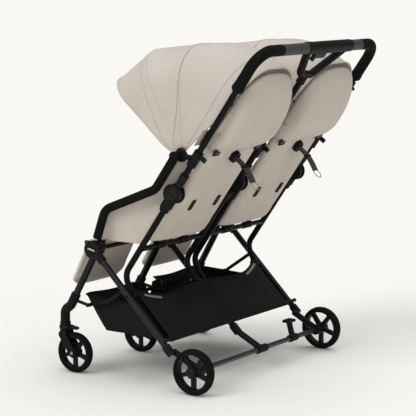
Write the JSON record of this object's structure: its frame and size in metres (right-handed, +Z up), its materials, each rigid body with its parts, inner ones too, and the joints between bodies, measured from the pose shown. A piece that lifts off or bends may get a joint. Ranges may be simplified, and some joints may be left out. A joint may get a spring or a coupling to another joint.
{
  "type": "side by side double stroller",
  "caption": "Folding side by side double stroller: tube frame with padded seats, canopies, leg rests, swivel front casters, rear wheels, brake pedal and a basket under the seats.",
  "frame": {"origin": "on the floor at the middle of the bounding box", "axes": "+Z up, +Y towards the handle and the person who pushes, +X to that person's left"},
  "size_m": [0.778, 0.7603, 1.0375],
  "materials": {
    "leg_tube": "satin",
    "back_tube": "satin",
    "handle_tube": "satin",
    "axle_tube": "satin",
    "steel_pin": "brushed",
    "brace_steel": "satin",
    "black_plastic": "fine texture",
    "hinge_plastic": "fine texture",
    "armrest_foam": "foam",
    "grip_foam": "grained",
    "tyre_rubber": "matt",
    "rim_plastic": "satin",
    "basket_cloth": "woven",
    "seat_cloth": "woven",
    "canopy_cloth": "woven",
    "strap_webbing": "webbing",
    "bow_plastic": "satin"
  },
  "bodies": {
    "rear_frame": {"rear_legs": "leg_tube", "rear_axle_tube": "axle_tube", "basket_bar": "brace_steel", "hub_housings": "black_plastic", "pivot_pins": "steel_pin", "rear_wheel_brackets": "black_plastic", "axle_tee": "brace_steel", "basket": "basket_cloth", "seat_base_left": "seat_cloth", "seat_base_right": "seat_cloth", "side_panels": "seat_cloth", "seat_rails": "brace_steel"},
    "front_frame": {"front_legs": "leg_tube", "caster_housings": "black_plastic"},
    "brace_bar_set": {"brace_bars": "brace_steel"},
    "brace_rod_set": {"brace_rods": "brace_steel"},
    "armrest_set": {"armrests": "armrest_foam"},
    "back_frame": {"back_tubes": "back_tube", "seat_crossbars": "back_tube", "hinge_knuckles": "hinge_plastic"},
    "handle_frame": {"hinge_tongues": "hinge_plastic", "handle_tubes": "handle_tube", "handlebar": "handle_tube", "grips": "grip_foam", "handle_housing": "black_plastic", "mount_blocks": "black_plastic", "storage_latch": "black_plastic", "canopy_cover_left": "canopy_cloth", "canopy_cover_right": "canopy_cloth"},
    "trigger": {"fold_trigger": "hinge_plastic"},
    "lock_set": {"lock_sleeves": "hinge_plastic"},
    "brake": {"brake_pedal": "black_plastic"},
    "canopy_mid": {"canopy_mid_bows": "bow_plastic"},
    "canopy_front_left": {"canopy_front_bow_left": "bow_plastic"},
    "recline_left": {"seat_back_left": "seat_cloth", "recline_strap_left": "strap_webbing"},
    "leg_left": {"leg_rest_left": "seat_cloth"},
    "rear_wheel_left": {"rear_tyre_left": "tyre_rubber", "rear_rim_left": "rim_plastic"},
    "canopy_front_right": {"canopy_front_bow_right": "bow_plastic"},
    "recline_right": {"seat_back_right": "seat_cloth", "recline_strap_right": "strap_webbing"},
    "leg_right": {"leg_rest_right": "seat_cloth"},
    "rear_wheel_right": {"rear_tyre_right": "tyre_rubber", "rear_rim_right": "rim_plastic"},
    "caster_left": {"caster_fork_left": "black_plastic"},
    "front_wheel_left": {"front_tyre_left": "tyre_rubber", "front_rim_left": "rim_plastic"},
    "lock_left": {"swivel_lock_left": "hinge_plastic"},
    "caster_centre": {"caster_fork_centre": "black_plastic"},
    "front_wheel_centre": {"front_tyre_centre": "tyre_rubber", "front_rim_centre": "rim_plastic"},
    "lock_centre": {"swivel_lock_centre": "hinge_plastic"},
    "caster_right": {"caster_fork_right": "black_plastic"},
    "front_wheel_right": {"front_tyre_right": "tyre_rubber", "front_rim_right": "rim_plastic"},
    "lock_right": {"swivel_lock_right": "hinge_plastic"}
  },
  "joints": [
    {"name": "frame_fold", "type": "hinge", "parent": "rear_frame", "child": "back_frame", "pos_m": [0, -0.09177, 0.26977], "axis": [1, 0, 0], "range_deg": [-83.7, 0], "deforming": ["basket", "seat_base_left", "seat_base_right", "side_panels", "seat_back_left", "seat_back_right", "canopy_cover_left", "canopy_cover_right", "recline_strap_left", "recline_strap_right"]},
    {"name": "handle_fold", "type": "hinge", "parent": "back_frame", "child": "handle_frame", "pos_m": [0, 0.06304, 0.59257], "axis": [1, 0, 0], "range_deg": [0, 127.48], "deforming": ["basket", "seat_base_left", "seat_base_right", "side_panels", "seat_back_left", "seat_back_right", "canopy_cover_left", "canopy_cover_right", "recline_strap_left", "recline_strap_right"]},
    {"name": "armrest_fold", "type": "hinge", "parent": "rear_frame", "child": "armrest_set", "pos_m": [0, -0.224, 0.402], "axis": [1, 0, 0], "range_deg": [-66, 0]},
    {"name": "front_fold", "type": "hinge", "parent": "rear_frame", "child": "front_frame", "pos_m": [0, -0.224, 0.402], "axis": [1, 0, 0], "range_deg": [0, 36]},
    {"name": "brace_bar_fold", "type": "hinge", "parent": "front_frame", "child": "brace_bar_set", "pos_m": [0, -0.263, 0.22], "axis": [1, 0, 0], "range_deg": [0, 61.95]},
    {"name": "brace_rod_fold", "type": "hinge", "parent": "brace_bar_set", "child": "brace_rod_set", "pos_m": [0, -0.197, 0.236], "axis": [1, 0, 0], "range_deg": [-135.41, 0]},
    {"name": "canopy_stow", "type": "hinge", "parent": "handle_frame", "child": "canopy_mid", "pos_m": [0, 0.08149, 0.70784], "axis": [1, 0, 0], "range_deg": [-30, 0], "deforming": ["canopy_cover_left", "canopy_cover_right"]},
    {"name": "canopy_left_close", "type": "hinge", "parent": "canopy_mid", "child": "canopy_front_left", "pos_m": [0, 0.08149, 0.70784], "axis": [-1, 0, 0], "range_deg": [0, 20], "deforming": ["canopy_cover_left"]},
    {"name": "recline_left_tilt", "type": "hinge", "parent": "handle_frame", "child": "recline_left", "pos_m": [0, -0.062, 0.414], "axis": [-1, 0, 0], "range_deg": [0, 24]},
    {"name": "leg_rest_left_lift", "type": "hinge", "parent": "rear_frame", "child": "leg_left", "pos_m": [0, -0.286, 0.412], "axis": [-1, 0, 0], "range_deg": [0, 55]},
    {"name": "canopy_right_close", "type": "hinge", "parent": "canopy_mid", "child": "canopy_front_right", "pos_m": [0, 0.08149, 0.70784], "axis": [-1, 0, 0], "range_deg": [0, 20], "deforming": ["canopy_cover_right"]},
    {"name": "recline_right_tilt", "type": "hinge", "parent": "handle_frame", "child": "recline_right", "pos_m": [0, -0.062, 0.414], "axis": [-1, 0, 0], "range_deg": [0, 24]},
    {"name": "leg_rest_right_lift", "type": "hinge", "parent": "rear_frame", "child": "leg_right", "pos_m": [0, -0.286, 0.412], "axis": [-1, 0, 0], "range_deg": [0, 55]},
    {"name": "swivel_left_turn", "type": "hinge", "parent": "front_frame", "child": "caster_left", "pos_m": [0.345, -0.355, 0.135], "axis": [0, 0, 1], "continuous": true},
    {"name": "front_left_spin", "type": "hinge", "parent": "caster_left", "child": "front_wheel_left", "pos_m": [0.345, -0.316, 0.064], "axis": [1, 0, 0], "continuous": true},
    {"name": "swivel_lock_left_flip", "type": "hinge", "parent": "front_frame", "child": "lock_left", "pos_m": [0.345, -0.333, 0.144], "axis": [1, 0, 0], "range_deg": [0, 25]},
    {"name": "swivel_centre_turn", "type": "hinge", "parent": "front_frame", "child": "caster_centre", "pos_m": [0, -0.355, 0.135], "axis": [0, 0, 1], "continuous": true},
    {"name": "front_centre_spin", "type": "hinge", "parent": "caster_centre", "child": "front_wheel_centre", "pos_m": [0, -0.316, 0.064], "axis": [1, 0, 0], "continuous": true},
    {"name": "swivel_lock_centre_flip", "type": "hinge", "parent": "front_frame", "child": "lock_centre", "pos_m": [0, -0.333, 0.144], "axis": [1, 0, 0], "range_deg": [0, 25]},
    {"name": "swivel_right_turn", "type": "hinge", "parent": "front_frame", "child": "caster_right", "pos_m": [-0.345, -0.355, 0.135], "axis": [0, 0, 1], "continuous": true},
    {"name": "front_right_spin", "type": "hinge", "parent": "caster_right", "child": "front_wheel_right", "pos_m": [-0.345, -0.316, 0.064], "axis": [1, 0, 0], "continuous": true},
    {"name": "swivel_lock_right_flip", "type": "hinge", "parent": "front_frame", "child": "lock_right", "pos_m": [-0.345, -0.333, 0.144], "axis": [1, 0, 0], "range_deg": [0, 25]},
    {"name": "rear_left_spin", "type": "hinge", "parent": "rear_frame", "child": "rear_wheel_left", "pos_m": [0.374, 0.153, 0.07], "axis": [1, 0, 0], "continuous": true},
    {"name": "rear_right_spin", "type": "hinge", "parent": "rear_frame", "child": "rear_wheel_right", "pos_m": [-0.374, 0.153, 0.07], "axis": [1, 0, 0], "continuous": true},
    {"name": "brake_press", "type": "hinge", "parent": "rear_frame", "child": "brake", "pos_m": [-0.25, 0.153, 0.07], "axis": [-1, 0, 0], "range_deg": [0, 22]},
    {"name": "trigger_pull", "type": "slide", "parent": "handle_frame", "child": "trigger", "axis": [0, 0.5736, 0.8192], "range_m": [0, 0.005], "stiffness_N_per_m": 900},
    {"name": "lock_lift", "type": "slide", "parent": "handle_frame", "child": "lock_set", "axis": [0, 0.5736, 0.8192], "range_m": [0, 0.005]}
  ],
  "couplings": [
    {"joint": "handle_fold", "follows": "frame_fold", "ratio": -1.523},
    {"joint": "armrest_fold", "follows": "frame_fold", "ratio": 0.78855},
    {"joint": "front_fold", "follows": "frame_fold", "ratio": -0.43012},
    {"joint": "brace_bar_fold", "follows": "frame_fold", "ratio": -0.74018},
    {"joint": "brace_rod_fold", "follows": "frame_fold", "ratio": 1.6179},
    {"joint": "canopy_stow", "follows": "frame_fold", "ratio": 0.35843},
    {"joint": "lock_lift", "follows": "trigger_pull", "ratio": 1}
  ]
}
